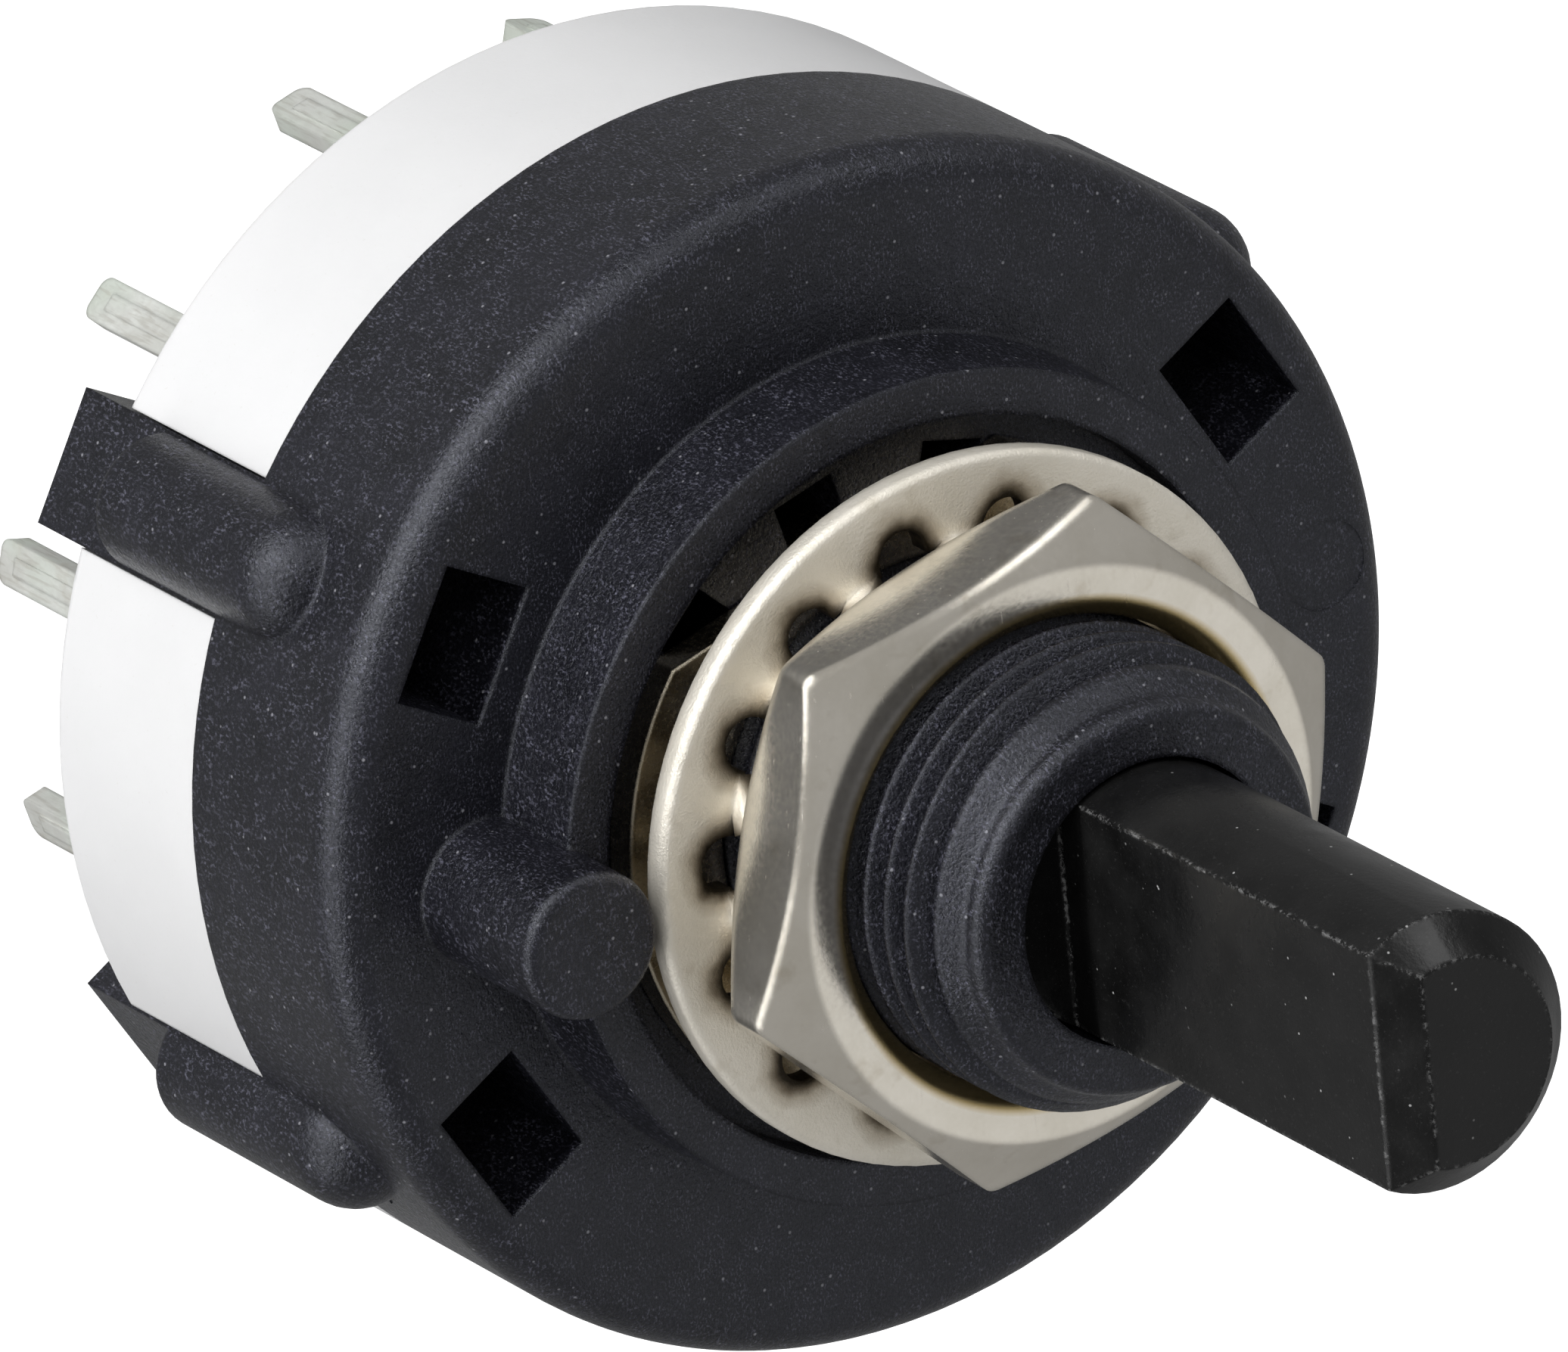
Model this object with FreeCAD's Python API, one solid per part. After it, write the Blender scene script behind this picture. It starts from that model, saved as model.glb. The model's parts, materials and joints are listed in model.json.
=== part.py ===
"""Panel-mount rotary selector switch, 1 pole 12 positions, millimetres.

The heights in this file are measured from the flat front face of the housing, +Z along the
shaft. save() lowers everything by the collar's height, so the row's origin is on the shaft's
axis in the plane of the panel seat. +Y points at the locating peg.
"""
import FreeCAD
import Part
import math
import os

V = FreeCAD.Vector

# Housing
body_r = 13.15
rim_h = -5.5
front_round = 0.9
ceiling_h = -1.6
collar_foot_r = 9.12
collar_top_r = 9.03
collar_h = 2.35
recess_r = 8.05
recess_h = 1.3
ejector_at = 11.5
ejector_r = 1.0
ejector_azimuth = 273.5
ejector_depth = 0.04
peg_at = 9.53
peg_r = 1.6
peg_h = 4.0

# Threaded bush, M10 x 0.75
thread_r = 5.0
root_r = 4.55
pitch = 0.75
groove_start_h = 0.64
groove_end_h = 9.3
bush_h = 10.25
nose_r = 4.25
bore_r = 3.1

# Snap legs and the core windows in front of their hooks
leg_azimuths = (60, 120, 240, 300)
leg_width = 3.0
leg_in_r = 12.07
hook_in_r = 9.92
rib_at = 12.7
rib_r = leg_width / 2
rib_top_h = -2.35
rib_low_h = -9.4
tail_h = -12.3
tail_r = 13.1

# Detent, twelve notches in the thick wall, which also fits into the base
positions = 12
step = 360 / positions
ring_out_r = 10.8
ring_in_r = 8.1
ring_h = -5.9
notch_at = 7.35
notch_r = 1.35
ball_r = 1.25
ball_at = 6.8
ball_h = -4.45

# Adjustable stop
stop_azimuth = 15
stop_hole_in = 5.05
stop_hole_out = 7.2
stop_hole_width = 1.5
washer_bore_r = 5.1
stop_out_r = 7.35
stop_flat = 5.8
stop_low_h = 1.35
stop_top_h = 2.1
tab_in = 5.15
tab_width = 1.3
tab_low_h = -2.45

# Lock washer and nut
lock_out_r = 7.72
lock_in_r = 6.0
lock_low_h = 3.3
lock_top_h = 3.82
gap_at = 6.15
gap_width = 1.15
tooth_count = 15
tooth_width = 1.2
tooth_thick = 0.46
tooth_mid_h = 3.95
tooth_twist = 32
tooth_azimuth = 71
nut_flats = 13.0
nut_low_h = 4.6
nut_top_h = 7.0
nut_face_r = 6.2
nut_bore_r = 5.06
nut_sink_r = 5.42
nut_corner_azimuth = 44.5
nut_corner_round = 0.35

# Spindle
shaft_r = 3.0
shaft_h = 21.3
tip_chamfer = 0.75
flat_at = 1.5
flat_low_h = 9.4
hub_r = 7.2
hub_top_h = -2.75
hub_low_h = -6.15
finger_in = 5.2
finger_out = 7.0
finger_h = -1.75
finger_azimuth = 0
cross_bore_r = 1.3
drive_side = 4.0
pivot_r = 1.5
pivot_h = -10.2

# Rotor and moving contact
rotor_r = 10.4
rotor_low_h = -7.75
pocket_top_h = -7.15
spring_seat_h = -6.65
strip_top_h = -7.65
strip_low_h = -7.95
strip_in = 4.5
strip_out = 10.2
strip_width = 2.0
dome_r = 0.9
dome_h = -7.85
pad_track = 9.5
common_track = 5.4

# Base and terminals
base_h = -10.8
floor_h = -9.2
base_in_r = 10.9
pad_h = -8.8
pad_in = 8.2
pad_width = 1.6
blade_in = 10.85
blade_out = 11.35
blade_width = 1.0
blade_h = -16.0
blade_corner = 0.3
ridge_depth = 0.05


def cylinder(r, low, high, x=0, y=0):
    return Part.makeCylinder(r, high - low, V(x, y, low))


def tube(r_in, r_out, low, high):
    return cylinder(r_out, low, high).cut(cylinder(r_in, low - 1, high + 1))


def box(x0, x1, y0, y1, z0, z1):
    return Part.makeBox(x1 - x0, y1 - y0, z1 - z0, V(x0, y0, z0))


def turned(points):
    """A solid of revolution about Z from (radius, height) corners."""
    wire = Part.makePolygon([V(r, 0, h) for r, h in points + points[:1]])
    return Part.Face(wire).revolve(V(0, 0, 0), V(0, 0, 1), 360)


def at(shape, azimuth):
    """A copy of a shape built on +X, turned to an azimuth about the shaft."""
    copy = shape.copy()
    copy.rotate(V(0, 0, 0), V(0, 0, 1), azimuth)
    return copy


def rounded(shape, r, h, size):
    """Rounds the circular edges of radius r at height h."""
    edges = [
        edge for edge in shape.Edges
        if isinstance(edge.Curve, Part.Circle)
        and abs(edge.Curve.Radius - r) < 0.01 and abs(edge.Curve.Center.z - h) < 0.01
    ]
    return shape.makeFillet(size, edges)


def sector(r_in, r_out, half_angle, low, high):
    """A piece of a ring centred on +X."""
    ring = tube(r_in, r_out, low, high)
    reach = 2 * r_out
    rise = reach * math.tan(math.radians(half_angle))
    wedge = Part.makePolygon([V(0, 0, low), V(reach, -rise, low), V(reach, rise, low), V(0, 0, low)])
    return ring.common(Part.Face(wedge).extrude(V(0, 0, high - low)))


def coil(radius, wire_r, length, turns):
    """A compression spring standing on Z from height 0."""
    run = length - 2 * wire_r
    spine = Part.makeHelix(run / turns, run, radius)
    section = Part.Wire(Part.makeCircle(wire_r, V(radius, 0, 0), V(0, 1, 0)))
    spring = Part.Wire(spine).makePipeShell([section], True, True)
    spring.translate(V(0, 0, wire_r))
    return spring


def save(name, shape):
    solid = shape.removeSplitter() if shape.ShapeType != "Solid" else shape
    solid.translate(V(0, 0, -collar_h))
    solid.exportStep("parts/%s.step" % name)


def make_bush():
    """The threaded bush: a helical V groove that runs out on the tapered nose."""
    blank = turned([
        (0, ceiling_h), (thread_r, ceiling_h), (thread_r, bush_h - 1.5), (4.72, bush_h - 1.23),
        (4.66, bush_h - 0.95), (4.32, bush_h - 0.57), (nose_r, bush_h - 0.45), (nose_r, bush_h), (0, bush_h),
    ])
    run = groove_end_h - groove_start_h
    spine = Part.makeLongHelix(pitch, run, (root_r + thread_r) / 2)
    outline = [(root_r, -0.05), (thread_r + 0.2, -0.36), (thread_r + 0.2, 0.36), (root_r, 0.05)]
    section = Part.makePolygon([V(r, 0, h) for r, h in outline + outline[:1]])
    groove = Part.Wire(spine).makePipeShell([section], True, True)
    groove.translate(V(0, 0, groove_start_h))
    return rounded(blank, nose_r, bush_h, 0.35).cut(groove)


def make_leg():
    """A snap leg on +X: a domed half-round rib outside, a flat finger, a hook under the base."""
    outline = [
        (leg_in_r, rib_top_h - 1), (leg_in_r, base_h - 0.05), (hook_in_r, base_h - 0.05),
        (hook_in_r, base_h - 0.5), (leg_in_r - 0.3, tail_h), (tail_r, tail_h), (tail_r, rib_top_h - 1),
    ]
    wire = Part.makePolygon([V(x, -rib_r, h) for x, h in outline + outline[:1]])
    finger = Part.Face(wire).extrude(V(0, leg_width, 0))
    dome_h = rib_top_h - rib_r
    rib = rounded(cylinder(rib_r, rib_low_h, dome_h, rib_at), rib_r, rib_low_h, 0.3)
    rib = rib.fuse(Part.makeSphere(rib_r, V(rib_at, 0, dome_h)))
    outside = box(leg_in_r, rib_at + 2, -2, 2, tail_h, 0)
    return finger.fuse(rib.common(outside))


def make_peg():
    peg = rounded(cylinder(peg_r, -0.5, peg_h), peg_r, peg_h, 0.25)
    peg.translate(V(peg_at, 0, 0))
    return peg


def make_housing():
    shell = rounded(cylinder(body_r, rim_h, 0), body_r, 0, front_round)
    collar = Part.makeCone(collar_foot_r, collar_top_r, collar_h, V(0, 0, 0))
    housing = shell.fuse(collar)
    housing = housing.cut(cylinder(ring_out_r, rim_h - 1, ceiling_h))
    housing = housing.cut(cylinder(recess_r, recess_h, collar_h + 1))
    ring = tube(ring_in_r, ring_out_r, ring_h, ceiling_h)
    for index in range(positions):
        ring = ring.cut(at(cylinder(notch_r, ring_h - 1, ceiling_h, notch_at), index * step))
    housing = housing.fuse([make_bush(), ring, at(make_peg(), 90)])
    housing = housing.fuse([at(make_leg(), azimuth) for azimuth in leg_azimuths])
    half = leg_width / 2
    window = box(hook_in_r, leg_in_r, -half, half, ring_h - 1, 1)
    holes = [at(window, azimuth) for azimuth in leg_azimuths]
    half = stop_hole_width / 2
    stop_hole = box(stop_hole_in, stop_hole_out, -half, half, ceiling_h - 0.1, recess_h + 0.1)
    holes += [at(stop_hole, stop_azimuth + index * step) for index in range(positions)]
    holes.append(cylinder(bore_r, ceiling_h - 1, bush_h + 1))
    holes.append(at(cylinder(ejector_r, -ejector_depth, 0.5, ejector_at), ejector_azimuth))
    return housing.cut(holes)


def make_terminal():
    """A terminal on +X: contact pad on the base's floor, flat blade down through it."""
    pad = box(pad_in, blade_out, -pad_width / 2, pad_width / 2, floor_h, pad_h)
    return pad.fuse(make_blade(blade_in, blade_out))


def make_blade(x_in, x_out):
    """A flat blade with round corners at the tip and a shallow coined ridge outside."""
    half = blade_width / 2
    blade = box(x_in, x_out, -half, half, blade_h, pad_h)
    corners = [
        edge for edge in blade.Edges
        if edge.BoundBox.XLength > 0.1 and edge.BoundBox.ZMax < blade_h + 0.01
    ]
    blade = blade.makeFillet(blade_corner, corners)
    ridge = box(x_out - 0.1, x_out + ridge_depth, -0.2, 0.2, blade_h + 0.6, base_h - 0.4)
    return blade.fuse(ridge)


def make_common():
    """The common contact: a ring on the floor with one blade behind the peg's far side."""
    ring = tube(common_track - 1, common_track + 1, floor_h, pad_h)
    blade = make_blade(common_track - 0.25, common_track + 0.25)
    return ring.fuse(at(blade, 270))


def make_base(metal):
    """The terminal base: a shallow cup that fits over the detent ring and between the legs."""
    base = rounded(cylinder(body_r, base_h, rim_h), body_r, base_h, 0.25)
    base = base.cut(cylinder(base_in_r, floor_h, rim_h + 1))
    half = leg_width / 2 + 0.05
    notch = box(leg_in_r - 0.07, body_r + 2, -half, half, base_h - 1, rim_h + 0.1)
    base = base.cut([at(notch, azimuth) for azimuth in leg_azimuths])
    base = base.cut(cylinder(pivot_r + 0.05, pivot_h - 0.25, floor_h + 1))
    return base.cut(metal)


def make_spindle():
    """Shaft, detent hub, stop finger, square drive and pivot in one moulding."""
    shaft = cylinder(shaft_r, hub_low_h, shaft_h)
    shaft = shaft.cut(box(-shaft_r - 1, shaft_r + 1, flat_at, shaft_r + 1, flat_low_h, shaft_h + 1))
    end = [edge for edge in shaft.Edges if edge.BoundBox.ZMin > shaft_h - 0.01]
    shaft = shaft.makeChamfer(tip_chamfer, end)
    hub = cylinder(hub_r, hub_low_h, hub_top_h)
    finger = at(sector(finger_in, finger_out, 6, hub_top_h - 0.5, finger_h), finger_azimuth)
    half = drive_side / 2
    drive = box(-half, half, -half, half, rotor_low_h, hub_low_h + 0.5)
    pivot = cylinder(pivot_r, pivot_h, rotor_low_h + 0.5)
    spindle = shaft.fuse([hub, finger, drive, pivot])
    cross = Part.makeCylinder(cross_bore_r, 2 * hub_r + 2, V(-hub_r - 1, 0, ball_h), V(1, 0, 0))
    return spindle.cut(cross)


def make_rotor():
    """The contact carrier, with a pocket that holds the moving contact and its spring."""
    rotor = cylinder(rotor_r, rotor_low_h, hub_low_h)
    half = drive_side / 2 + 0.05
    rotor = rotor.cut(box(-half, half, -half, half, rotor_low_h - 1, hub_low_h + 1))
    half = strip_width / 2 + 0.1
    pocket = box(strip_in - 0.1, strip_out + 0.1, -half, half, rotor_low_h - 1, pocket_top_h)
    seat = cylinder(1.0, rotor_low_h - 1, spring_seat_h, (pad_track + common_track) / 2)
    return rotor.cut([at(pocket, contact_azimuth), at(seat, contact_azimuth)])


def make_moving_contact():
    half = strip_width / 2
    strip = box(strip_in, strip_out, -half, half, strip_low_h, strip_top_h)
    below = box(strip_in - 2, strip_out + 2, -2, 2, dome_h - 2, strip_low_h + 0.1)
    domes = [Part.makeSphere(dome_r, V(track, 0, dome_h)).common(below) for track in (common_track, pad_track)]
    return at(strip.fuse(domes), contact_azimuth)


def make_contact_spring():
    spring = coil(0.65, 0.12, spring_seat_h - strip_top_h - 0.02, 3)
    spring.translate(V((pad_track + common_track) / 2, 0, strip_top_h + 0.01))
    return at(spring, contact_azimuth)


def make_detent_spring():
    """The spring across the hub that pushes both balls outwards."""
    length = 2 * (ball_at - ball_r) - 0.1
    spring = coil(0.95, 0.16, length, 13)
    spring.rotate(V(0, 0, 0), V(0, 1, 0), 90)
    spring.translate(V(-length / 2, 0, ball_h))
    return spring


def make_stop_washer():
    """The adjustable stop: a washer with one flat, whose tab drops into a stop hole."""
    washer = tube(washer_bore_r, stop_out_r, stop_low_h, stop_top_h)
    washer = washer.cut(box(stop_flat, stop_out_r + 1, -8, 8, stop_low_h - 1, stop_top_h + 1))
    half = tab_width / 2
    tab = box(tab_in, stop_flat, -half, half, tab_low_h, stop_top_h)
    return at(washer.fuse(tab), stop_azimuth)


def make_lock_washer():
    """Internal-tooth lock washer: round-ended gaps, and teeth twisted out of the rim's plane."""
    rim = rounded(tube(lock_in_r, lock_out_r, lock_low_h, lock_top_h), lock_out_r, lock_top_h, 0.14)
    pitch_angle = 360 / tooth_count
    gap = cylinder(gap_width / 2, lock_low_h - 1, lock_top_h + 1, gap_at)
    gap = gap.fuse(box(lock_in_r - 1, gap_at, -gap_width / 2, gap_width / 2, lock_low_h - 1, lock_top_h + 1))
    rim = rim.cut([at(gap, tooth_azimuth + (index + 0.5) * pitch_angle) for index in range(tooth_count)])
    half = tooth_width / 2
    tooth = box(washer_bore_r + 0.05, lock_in_r + 0.1, -half, half, -tooth_thick / 2, tooth_thick / 2)
    tooth.rotate(V(0, 0, 0), V(1, 0, 0), tooth_twist)
    tooth.translate(V(0, 0, tooth_mid_h))
    return rim.fuse([at(tooth, tooth_azimuth + index * pitch_angle) for index in range(tooth_count)])


def make_nut():
    corner_r = nut_flats / math.sqrt(3)
    corners = [at(Part.Vertex(corner_r, 0, nut_low_h), nut_corner_azimuth + 60 * side).Point for side in range(6)]
    prism = Part.Face(Part.makePolygon(corners + corners[:1])).extrude(V(0, 0, nut_top_h - nut_low_h))
    uprights = [edge for edge in prism.Edges if edge.BoundBox.ZLength > 1]
    prism = prism.makeFillet(nut_corner_round, uprights)
    reach = corner_r + 0.1
    rise = (reach - nut_face_r) * math.tan(math.radians(30))
    blank = turned([
        (0, nut_low_h), (nut_face_r, nut_low_h), (reach, nut_low_h + rise),
        (reach, nut_top_h - rise), (nut_face_r, nut_top_h), (0, nut_top_h),
    ])
    nut = prism.common(blank).cut(cylinder(nut_bore_r, nut_low_h - 1, nut_top_h + 1))
    sink = nut_sink_r - nut_bore_r
    return nut.cut(Part.makeCone(nut_bore_r, nut_sink_r, sink, V(0, 0, nut_top_h - sink)))


os.makedirs("parts", exist_ok=True)

first_terminal_azimuth = 75
contact_azimuth = first_terminal_azimuth
terminal = make_terminal()
terminals = [at(terminal, first_terminal_azimuth - index * step) for index in range(positions)]
common = make_common()

save("housing", make_housing())
save("base", make_base(terminals + [common]))
for index, blade in enumerate(terminals):
    save("terminal_%02d" % (index + 1), blade)
save("common_ring", common)
save("spindle", make_spindle())
save("rotor", make_rotor())
save("moving_contact", make_moving_contact())
save("contact_spring", make_contact_spring())
save("detent_spring", make_detent_spring())
save("detent_ball_a", Part.makeSphere(ball_r, V(ball_at, 0, ball_h)))
save("detent_ball_b", Part.makeSphere(ball_r, V(-ball_at, 0, ball_h)))
save("stop_washer", make_stop_washer())
save("lock_washer", make_lock_washer())
save("nut", make_nut())
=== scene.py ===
import bpy
import json
import math
from mathutils import Euler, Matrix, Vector


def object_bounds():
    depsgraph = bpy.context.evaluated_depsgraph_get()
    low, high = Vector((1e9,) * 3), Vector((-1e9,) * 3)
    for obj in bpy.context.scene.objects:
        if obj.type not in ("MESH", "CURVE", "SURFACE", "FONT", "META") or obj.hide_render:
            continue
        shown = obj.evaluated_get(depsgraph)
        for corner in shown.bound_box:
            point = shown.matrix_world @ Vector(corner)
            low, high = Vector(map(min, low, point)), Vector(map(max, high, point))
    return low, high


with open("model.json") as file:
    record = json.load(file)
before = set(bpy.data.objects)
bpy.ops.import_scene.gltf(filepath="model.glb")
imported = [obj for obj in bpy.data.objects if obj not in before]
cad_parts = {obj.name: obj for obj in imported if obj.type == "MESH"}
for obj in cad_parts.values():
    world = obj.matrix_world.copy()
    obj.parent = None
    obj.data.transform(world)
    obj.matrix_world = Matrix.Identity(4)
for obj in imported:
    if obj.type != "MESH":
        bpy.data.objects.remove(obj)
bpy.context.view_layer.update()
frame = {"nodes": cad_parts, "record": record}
nodes = frame["nodes"]

# The looks of the panel-mount rotary selector switch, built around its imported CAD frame.

MM = 0.001

# Sizes of the switch that its paint and its camera refer to
FRONT_FACE_Z = -2.35 * MM
COUNTERSINK_OUTER_RADIUS = 5.62 * MM
COUNTERSINK_WORN_RADIUS = 5.45 * MM
TOOTH_PITCH = math.radians(24)
TOOTH_GAP_ANGLE = math.radians(11)
TOOTH_GAP_RADIUS = 6.15 * MM

# The studio
FLOOR_SIZE = 3.0
LAMP_DISTANCE = 0.5
AMBIENT_STRENGTH = 0.29
CAMERA_DISTANCE = 0.6
CAMERA_FOCAL_LENGTH_MM = 666.86
CAMERA_AZIMUTH = 50.2
CAMERA_ELEVATION = 51.27
CAMERA_ROLL = 117.558
CAMERA_AIM_X = 0.158
CAMERA_AIM_Y = 0.174


# ---------------------------------------------------------------- node helpers

class Tree:
    """A material's node tree, with short calls for the nodes it is built from."""

    def __init__(self, name):
        self.material = bpy.data.materials.new(name)
        self.material.use_nodes = True
        self.nodes = self.material.node_tree.nodes
        self.links = self.material.node_tree.links
        self.shader = self.nodes["Principled BSDF"]
        self.place = self.nodes.new("ShaderNodeTexCoord").outputs["Object"]

    def feed(self, socket, value):
        """Link the value to the socket, or set it there when it is a plain number or colour."""
        if isinstance(value, bpy.types.NodeSocket):
            self.links.new(value, socket)
        else:
            socket.default_value = value

    def add(self, kind, output, **inputs):
        """A new node of this kind with these inputs; gives back the named output."""
        node = self.nodes.new(kind)
        for key, value in inputs.items():
            self.feed(node.inputs[key.replace("_", " ")], value)
        return node.outputs[output]

    def math(self, operation, first, second=0.0):
        node = self.nodes.new("ShaderNodeMath")
        node.operation = operation
        self.feed(node.inputs[0], first)
        self.feed(node.inputs[1], second)
        return node.outputs[0]

    def noise(self, size, detail=2.0, roughness=0.5, stretch=None):
        """Noise whose features are about this size, in millimetres."""
        vector = self.place
        if stretch:
            vector = self.add("ShaderNodeMapping", "Vector", Vector=vector, Scale=stretch)
        return self.add("ShaderNodeTexNoise", "Fac", Vector=vector, Scale=1 / (size * MM),
                        Detail=detail, Roughness=roughness)

    def cells(self, size):
        """The distance to the nearest of many points, about this many millimetres apart."""
        return self.add("ShaderNodeTexVoronoi", "Distance", Vector=self.place, Scale=1 / (size * MM),
                        Randomness=1.0)

    def span(self, value, low, high, out_low=0.0, out_high=1.0):
        """The value from low to high, spread over out_low to out_high and clamped."""
        node = self.nodes.new("ShaderNodeMapRange")
        self.feed(node.inputs["Value"], value)
        limits = {"From Min": low, "From Max": high, "To Min": out_low, "To Max": out_high}
        for key, number in limits.items():
            node.inputs[key].default_value = number
        return node.outputs["Result"]

    def mix(self, amount, first, second):
        """The first colour, blended towards the second by the amount."""
        node = self.nodes.new("ShaderNodeMix")
        node.data_type = "RGBA"
        self.feed(node.inputs[0], amount)
        self.feed(node.inputs[6], first)
        self.feed(node.inputs[7], second)
        return node.outputs[2]

    def polar(self):
        """The distance from the shaft's axis in metres and the angle about it in radians."""
        parts = self.nodes.new("ShaderNodeSeparateXYZ")
        self.links.new(self.place, parts.inputs[0])
        x, y = parts.outputs["X"], parts.outputs["Y"]
        squares = self.math("ADD", self.math("MULTIPLY", x, x), self.math("MULTIPLY", y, y))
        return self.math("SQRT", squares), self.math("ARCTAN2", y, x)

    def worn_edges(self, radius):
        """Normals rounded over edges by this radius in millimetres."""
        node = self.nodes.new("ShaderNodeBevel")
        node.samples = 6
        node.inputs["Radius"].default_value = radius * MM
        return node.outputs["Normal"]

    def edge_wear(self, rounded_normal):
        """1 along convex and concave edges, 0 on open faces."""
        node = self.nodes.new("ShaderNodeVectorMath")
        node.operation = "DOT_PRODUCT"
        flat = self.nodes.new("ShaderNodeNewGeometry").outputs["Normal"]
        self.links.new(rounded_normal, node.inputs[0])
        self.links.new(flat, node.inputs[1])
        return self.span(node.outputs["Value"], 0.99, 0.93)

    def bump(self, height, depth, under):
        """Bump of this depth in millimetres, on top of another bump or bevel."""
        node = self.nodes.new("ShaderNodeBump")
        node.inputs["Distance"].default_value = depth * MM
        node.inputs["Strength"].default_value = 1.0
        self.feed(node.inputs["Height"], height)
        self.feed(node.inputs["Normal"], under)
        return node.outputs["Normal"]

    def finish(self, **inputs):
        """Feed the shader's own inputs and give back the material."""
        for key, value in inputs.items():
            self.feed(self.shader.inputs[key.replace("_", " ")], value)
        return self.material


def rgb(red, green, blue):
    return (red, green, blue, 1.0)


def grey(value):
    return rgb(value, value, value)


# ---------------------------------------------------------------- materials

def glass_filled_nylon():
    """Black moulded nylon: pale glass fibre specks, a fine pebbled skin, dust in places."""
    t = Tree("black_nylon")
    cloud = t.noise(1.6, 4.0, 0.6)
    grain = t.noise(0.10, 3.0, 0.7)
    fibre = t.noise(0.075, 2.0, 0.6, stretch=(1.0, 1.5, 0.7))
    patches = t.span(t.noise(0.5, 3.0), 0.40, 0.62, 0.3, 1.0)
    speck = t.math("MULTIPLY", t.span(fibre, 0.53, 0.70), patches)
    fleck = t.span(t.cells(0.45), 0.10, 0.05)
    colour = t.mix(t.span(cloud, 0.35, 0.7), rgb(0.003, 0.003, 0.0045), rgb(0.008, 0.008, 0.012))
    colour = t.mix(t.math("MULTIPLY", speck, 0.9), colour, rgb(0.105, 0.105, 0.140))
    colour = t.mix(t.math("MULTIPLY", fleck, 0.7), colour, rgb(0.30, 0.30, 0.33))
    skin = t.bump(t.noise(0.5, 3.0), 0.014, t.worn_edges(0.18))
    skin = t.bump(grain, 0.036, skin)
    rough = t.span(grain, 0.3, 0.7, 0.20, 0.36)
    return t.finish(Base_Color=colour, Roughness=rough, Normal=skin, Specular_IOR_Level=0.58,
                    Specular_Tint=(0.87, 0.90, 1.0, 1.0))


def smooth_black():
    """The spindle's black acetal: smoother, with stray white dust and pale chipped edges."""
    t = Tree("black_acetal")
    cloud = t.noise(1.2, 5.0, 0.6)
    dust = t.span(t.cells(0.42), 0.085, 0.045)
    keep = t.span(t.noise(1.0, 2.0), 0.50, 0.60)
    grain = t.noise(0.07, 3.0, 0.6)
    colour = t.mix(t.span(cloud, 0.35, 0.7), grey(0.004), grey(0.009))
    colour = t.mix(t.math("MULTIPLY", t.span(grain, 0.62, 0.72), 0.2), colour, grey(0.08))
    colour = t.mix(t.math("MULTIPLY", dust, keep), colour, grey(0.35))
    edges = t.worn_edges(0.16)
    broken = t.span(t.noise(0.13, 3.0, 0.7), 0.50, 0.62)
    chips = t.math("MULTIPLY", t.edge_wear(edges), broken)
    colour = t.mix(t.math("MULTIPLY", chips, 0.7), colour, grey(0.30))
    skin = t.bump(t.noise(0.12, 3.0, 0.6), 0.006, edges)
    rough = t.span(cloud, 0.3, 0.7, 0.20, 0.34)
    return t.finish(Base_Color=colour, Roughness=rough, Normal=skin, Specular_IOR_Level=0.29)


def white_nylon():
    """The base's white nylon: faint clouding, a few pale brown specks."""
    t = Tree("white_nylon")
    cloud = t.noise(3.0, 4.0, 0.55)
    speck = t.math("MULTIPLY", t.span(t.noise(0.09, 2.0), 0.68, 0.76), 0.25)
    colour = t.mix(t.span(cloud, 0.35, 0.7), rgb(0.73, 0.73, 0.735), rgb(0.705, 0.705, 0.71))
    colour = t.mix(speck, colour, rgb(0.58, 0.56, 0.52))
    skin = t.bump(t.noise(0.15, 3.0, 0.6), 0.004, t.worn_edges(0.1))
    return t.finish(Base_Color=colour, Roughness=0.42, Normal=skin, Subsurface_Weight=0.2,
                    Subsurface_Radius=(1.0, 1.0, 1.0), Subsurface_Scale=0.4 * MM)


def plated(name, pale, dark, rough_low, rough_high, grain_depth, grain_size=0.12, paint=None,
           metallic=1.0, edge=0.14):
    """Plated metal: cloudy tarnish, fine tumbled grain, a few scratches, soft edges.

    Grain and edge are in millimetres. The paint function, if any, adds what belongs to one part.
    """
    t = Tree(name)
    cloud = t.noise(1.5, 5.0, 0.6)
    grain = t.noise(grain_size, 4.0, 0.65)
    stain = t.span(t.noise(0.7, 3.0), 0.60, 0.74)
    scratch = t.span(t.noise(0.09, 2.0, 0.5, stretch=(0.12, 1.0, 1.0)), 0.68, 0.74)
    colour = t.mix(t.span(cloud, 0.35, 0.7), pale, dark)
    colour = t.mix(t.math("MULTIPLY", stain, 0.2), colour, rgb(0.36, 0.28, 0.16))
    if paint:
        colour = paint(t, colour)
    rough = t.span(grain, 0.3, 0.7, rough_low, rough_high)
    rough = t.math("ADD", rough, t.math("MULTIPLY", scratch, 0.1))
    skin = t.bump(grain, grain_depth, t.worn_edges(edge))
    return t.finish(Base_Color=colour, Metallic=metallic, Roughness=rough, Normal=skin)


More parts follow.
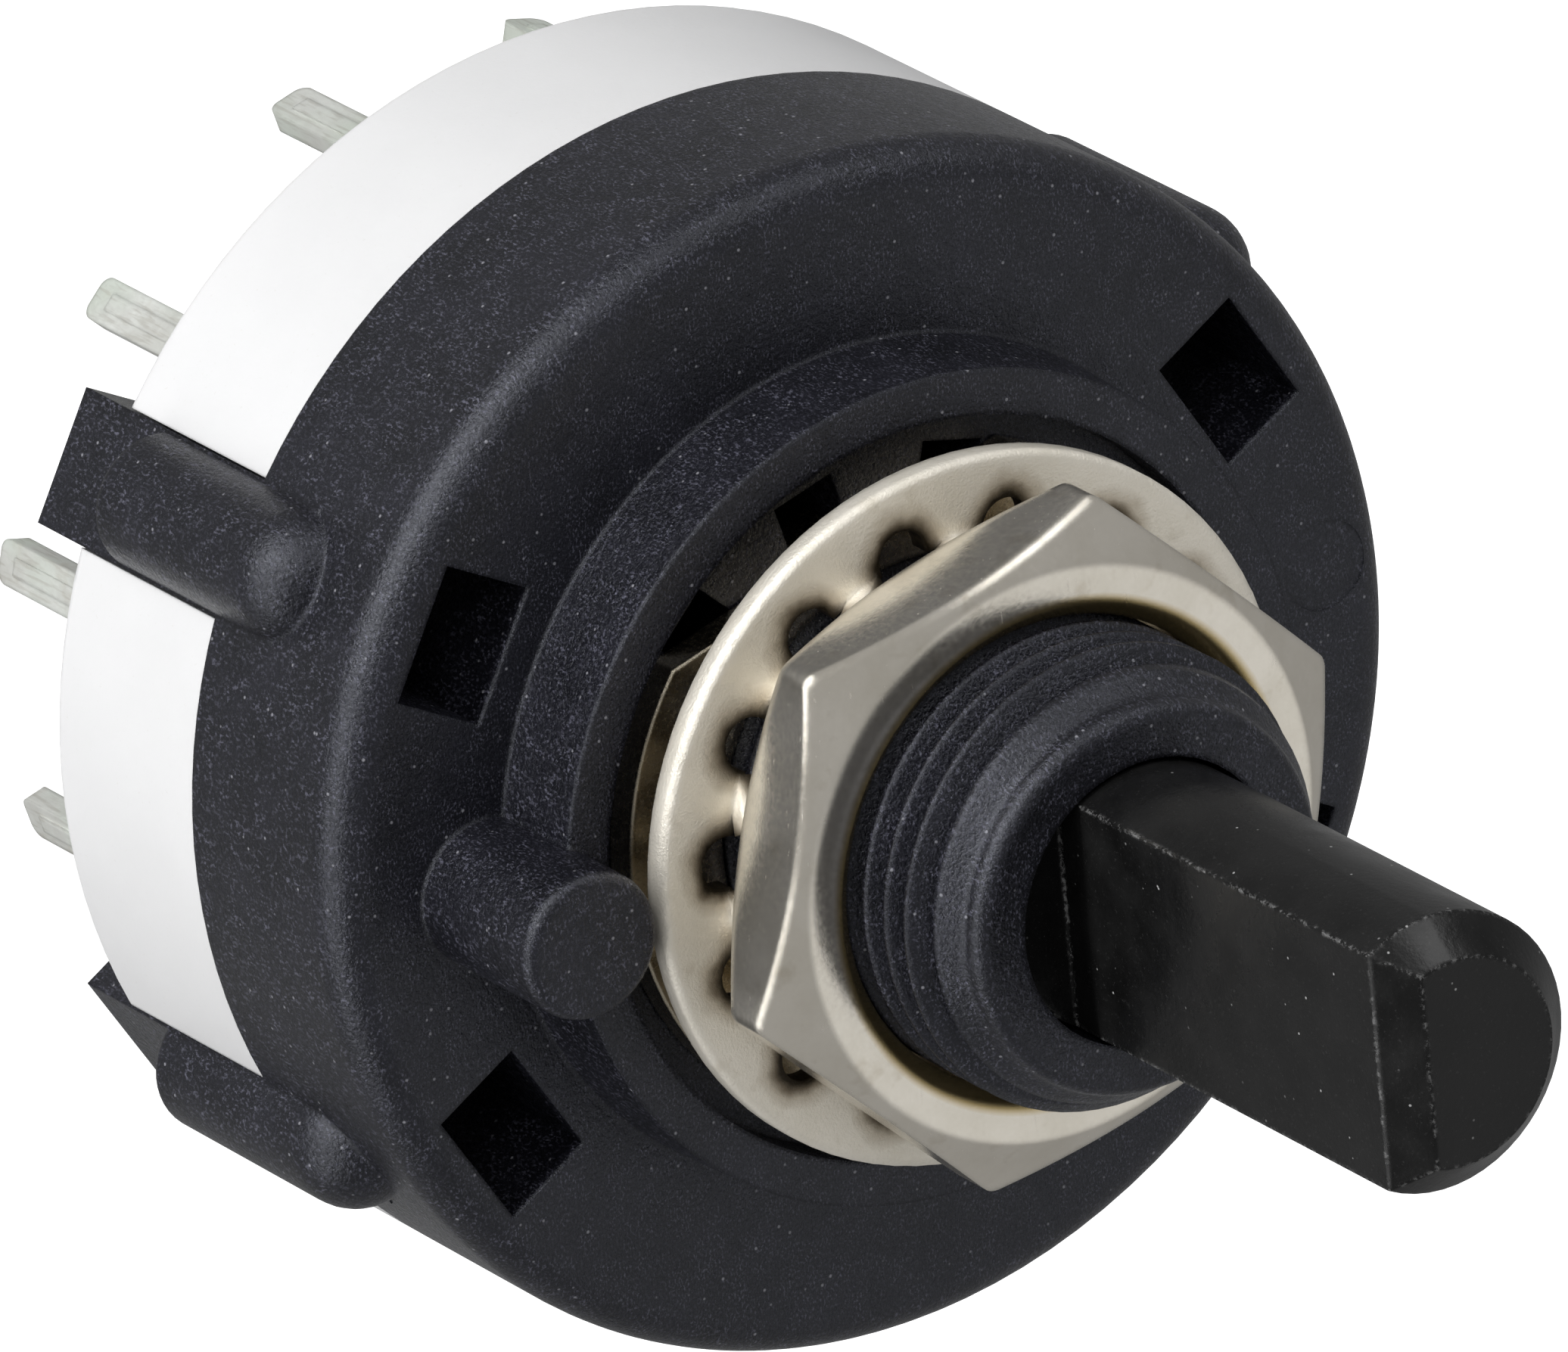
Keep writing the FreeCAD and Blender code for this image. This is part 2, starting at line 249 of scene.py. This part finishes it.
def coined_streaks(t, colour):
    """Faint dark streaks along the drawn and tinned strip, with a green cast here and there."""
    streak = t.span(t.noise(0.10, 2.0, 0.5, stretch=(1.0, 1.0, 0.12)), 0.52, 0.66)
    green = t.span(t.noise(2.5, 2.0), 0.45, 0.60)
    colour = t.mix(t.math("MULTIPLY", green, 0.5), colour, rgb(0.66, 0.74, 0.64))
    return t.mix(t.math("MULTIPLY", streak, 0.35), colour, rgb(0.42, 0.40, 0.34))


def gilt_countersink(t, colour):
    """Bare brass shows through the plating around the nut's thread."""
    radius, _ = t.polar()
    worn = t.span(radius, COUNTERSINK_OUTER_RADIUS, COUNTERSINK_WORN_RADIUS)
    return t.mix(t.math("MULTIPLY", worn, 0.85), colour, rgb(0.62, 0.46, 0.17))


def painted_gap_shade(t, colour):
    """Painted shade in and around the fifteen gaps between the lock washer's teeth: a brown halo with
    a near-black core.
    """
    radius, angle = t.polar()
    # Whole pitches are added so that the fraction starts from a positive number
    shift = 10.5 - TOOTH_GAP_ANGLE / TOOTH_PITCH
    turn = t.math("FRACT", t.math("ADD", t.math("DIVIDE", angle, TOOTH_PITCH), shift))
    off_centre = t.math("MULTIPLY", t.math("SUBTRACT", turn, 0.5), TOOTH_PITCH)
    aside = t.math("MULTIPLY", off_centre, radius)
    outward = t.math("MAXIMUM", t.math("SUBTRACT", radius, TOOTH_GAP_RADIUS), 0.0)
    squares = t.math("ADD", t.math("MULTIPLY", aside, aside), t.math("MULTIPLY", outward, outward))
    ragged = t.span(t.noise(0.8, 3.0), 0.3, 0.7, -0.1 * MM, 0.1 * MM)
    reach = t.math("ADD", t.math("SQRT", squares), ragged)
    # Painted shade: brown fading out around each gap, near black at its core, standing in for the
    # shade in the dipped gaps
    brown = t.math("MULTIPLY", t.span(reach, 1.25 * MM, 0.70 * MM), 0.8)
    colour = t.mix(brown, colour, rgb(0.30, 0.22, 0.12))
    return t.mix(t.span(reach, 0.95 * MM, 0.60 * MM), colour, rgb(0.03, 0.022, 0.012))


def steel_ball():
    """Bright steel with faint wear."""
    t = Tree("ball_steel")
    wear = t.noise(0.3, 4.0, 0.6)
    colour = t.mix(wear, rgb(0.62, 0.62, 0.64), rgb(0.70, 0.70, 0.71))
    return t.finish(Base_Color=colour, Metallic=1.0, Roughness=t.span(wear, 0.3, 0.7, 0.06, 0.14))


materials = {
    "black_nylon": glass_filled_nylon(),
    "black_acetal": smooth_black(),
    "white_nylon": white_nylon(),
    "tinned_brass": plated(
        "tinned_brass", rgb(0.84, 0.86, 0.82), rgb(0.66, 0.66, 0.62), 0.30, 0.50,
        grain_depth=0.006, grain_size=0.10, paint=coined_streaks, metallic=0.5),
    "contact_bronze": plated(
        "contact_bronze", rgb(0.80, 0.55, 0.30), rgb(0.66, 0.42, 0.22), 0.18, 0.34, grain_depth=0.004),
    "spring_steel": plated(
        "spring_steel", rgb(0.55, 0.55, 0.56), rgb(0.42, 0.42, 0.43), 0.20, 0.35, grain_depth=0.003),
    "ball_steel": steel_ball(),
    "nickel_steel": plated(
        "nickel_steel", rgb(0.90, 0.82, 0.66), rgb(0.78, 0.68, 0.50), 0.18, 0.32, grain_depth=0.004),
    "nickel_brass": plated(
        "nickel_brass", rgb(0.89, 0.84, 0.745), rgb(0.79, 0.74, 0.64), 0.12, 0.22,
        grain_depth=0.0020, paint=gilt_countersink, metallic=0.90, edge=0.28),
}

# The lock washer shares the stop washer's metal, but is tumbled duller and carries painted shade in
# and around the gaps between its teeth
lock_nickel_painted_shade = plated(
    "lock_washer_nickel", rgb(0.95, 0.90, 0.80), rgb(0.88, 0.83, 0.72), 0.30, 0.42,
    grain_depth=0.022, grain_size=0.07, paint=painted_gap_shade, metallic=0.52, edge=0.30)

for part in frame["record"]["subparts"]:
    piece = nodes[part["node"]]
    piece.data.materials.clear()
    plain = materials[part["material_slot"]]
    piece.data.materials.append(lock_nickel_painted_shade if part["node"] == "lock_washer" else plain)
    for polygon in piece.data.polygons:
        polygon.use_smooth = True
    smooth = piece.modifiers.new("smooth", "WEIGHTED_NORMAL")
    smooth.keep_sharp = True


# ---------------------------------------------------------------- stage, light and camera

def make_floor():
    """A plain pale floor under the blades, which neither lights nor shades the switch."""
    low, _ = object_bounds()
    bpy.ops.mesh.primitive_plane_add(size=FLOOR_SIZE, location=(0, 0, low[2]))
    floor = bpy.context.object
    floor.name = "floor"
    floor.visible_diffuse = False
    floor.visible_glossy = False
    floor.visible_shadow = False
    t = Tree("floor_white")
    floor.data.materials.append(t.finish(Base_Color=grey(0.9), Roughness=0.9, Emission_Color=grey(1.0),
                                         Emission_Strength=1.0))


def direction(azimuth, elevation):
    """The unit vector towards this azimuth and elevation in degrees."""
    turn, rise = math.radians(azimuth), math.radians(elevation)
    return Vector((math.cos(rise) * math.cos(turn), math.cos(rise) * math.sin(turn), math.sin(rise)))


def make_light(name, azimuth, elevation, width, height, power):
    """A soft box aimed at the switch: angles in degrees, size in metres, power in watts."""
    lamp = bpy.data.lights.new(name, "AREA")
    lamp.shape = "RECTANGLE"
    lamp.size = width
    lamp.size_y = height
    lamp.energy = power
    holder = bpy.data.objects.new(name, lamp)
    bpy.context.scene.collection.objects.link(holder)
    spot = direction(azimuth, elevation) * LAMP_DISTANCE
    holder.location = spot
    holder.rotation_euler = (-spot).to_track_quat("-Z", "Y").to_euler()


def make_camera():
    """A long lens looking down on the front face, rolled so that the shaft points right."""
    data = bpy.data.cameras.new("camera")
    data.sensor_width = 36.0
    data.lens = CAMERA_FOCAL_LENGTH_MM
    data.clip_start = 0.05
    data.clip_end = 10.0
    camera = bpy.data.objects.new("camera", data)
    bpy.context.scene.collection.objects.link(camera)
    away = direction(CAMERA_AZIMUTH, CAMERA_ELEVATION)
    camera.location = Vector((0, 0, FRONT_FACE_Z)) + away * CAMERA_DISTANCE
    level = (-away).to_track_quat("-Z", "Y").to_matrix()
    roll = Euler((0, 0, math.radians(CAMERA_ROLL))).to_matrix()
    aim_x = Euler((math.radians(CAMERA_AIM_X), 0, 0)).to_matrix()
    aim_y = Euler((0, math.radians(CAMERA_AIM_Y), 0)).to_matrix()
    camera.rotation_euler = (level @ (roll @ aim_x @ aim_y)).to_euler()
    bpy.context.scene.camera = camera


make_floor()
make_light("left", 49.0, 1.0, 0.58, 0.085, 2.3)
make_light("front", 39.0, 36.0, 0.18, 0.18, 0.45)
make_light("upper_right", -25.0, 27.0, 0.22, 0.22, 0.5)
make_light("right_low", -130.0, 51.5, 0.36, 0.36, 0.15)
make_light("lower_left", 108.0, 5.0, 0.30, 0.15, 0.75)
make_camera()

world = bpy.data.worlds.new("studio")
world.use_nodes = True
world.node_tree.nodes["Background"].inputs["Color"].default_value = grey(1.0)
world.node_tree.nodes["Background"].inputs["Strength"].default_value = AMBIENT_STRENGTH
bpy.context.scene.world = world
bpy.context.scene.view_settings.view_transform = "Standard"
